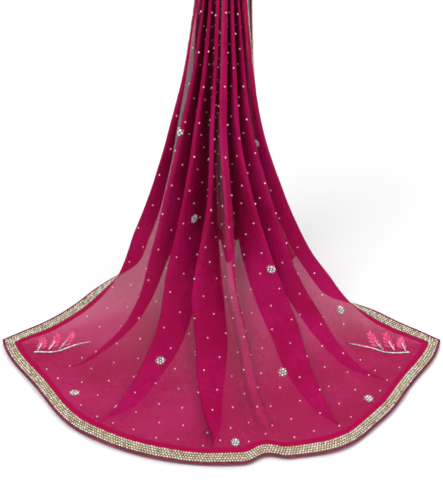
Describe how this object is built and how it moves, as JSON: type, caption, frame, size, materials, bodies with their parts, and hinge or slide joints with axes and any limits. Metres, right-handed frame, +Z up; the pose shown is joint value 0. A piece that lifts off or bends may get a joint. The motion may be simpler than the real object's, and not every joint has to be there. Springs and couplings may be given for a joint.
{
  "type": "dupatta stole",
  "caption": "Sheer gathered dupatta stole hung over a hold, its front end opening into a pleated trumpet flare whose bordered hem lies on the floor.",
  "frame": {"origin": "inside top of the fold over the hold, at the middle of the gathered cloth", "axes": "+Z up, -Y towards the front fall and its flare, +X to the right as seen from the front"},
  "size_m": [0.6888, 0.4821, 1.0665],
  "materials": {
    "chiffon": "sheer magenta georgette",
    "sequins": "gold sequin and thread border",
    "piping": "dark magenta piping",
    "plume": "raised pink thread embroidery",
    "silver": "silver beadwork"
  },
  "bodies": {
    "root": {"border_back": "sequins", "border_crown_left": "sequins", "border_crown_right": "sequins", "border_front": "sequins", "cloth_back": "chiffon", "cloth_crown": "chiffon", "cloth_front": "chiffon", "flower_1": "silver", "flower_2": "silver", "flower_3": "silver", "piping_back": "piping", "piping_crown_left": "piping", "piping_crown_right": "piping", "piping_front": "piping", "spray_front_left_plume_1": "plume", "spray_front_left_plume_2": "plume", "spray_front_left_plume_3": "plume", "spray_front_left_stem": "silver", "spray_front_right_plume_1": "plume", "spray_front_right_plume_2": "plume", "spray_front_right_plume_3": "plume", "spray_front_right_stem": "silver"}
  },
  "joints": []
}
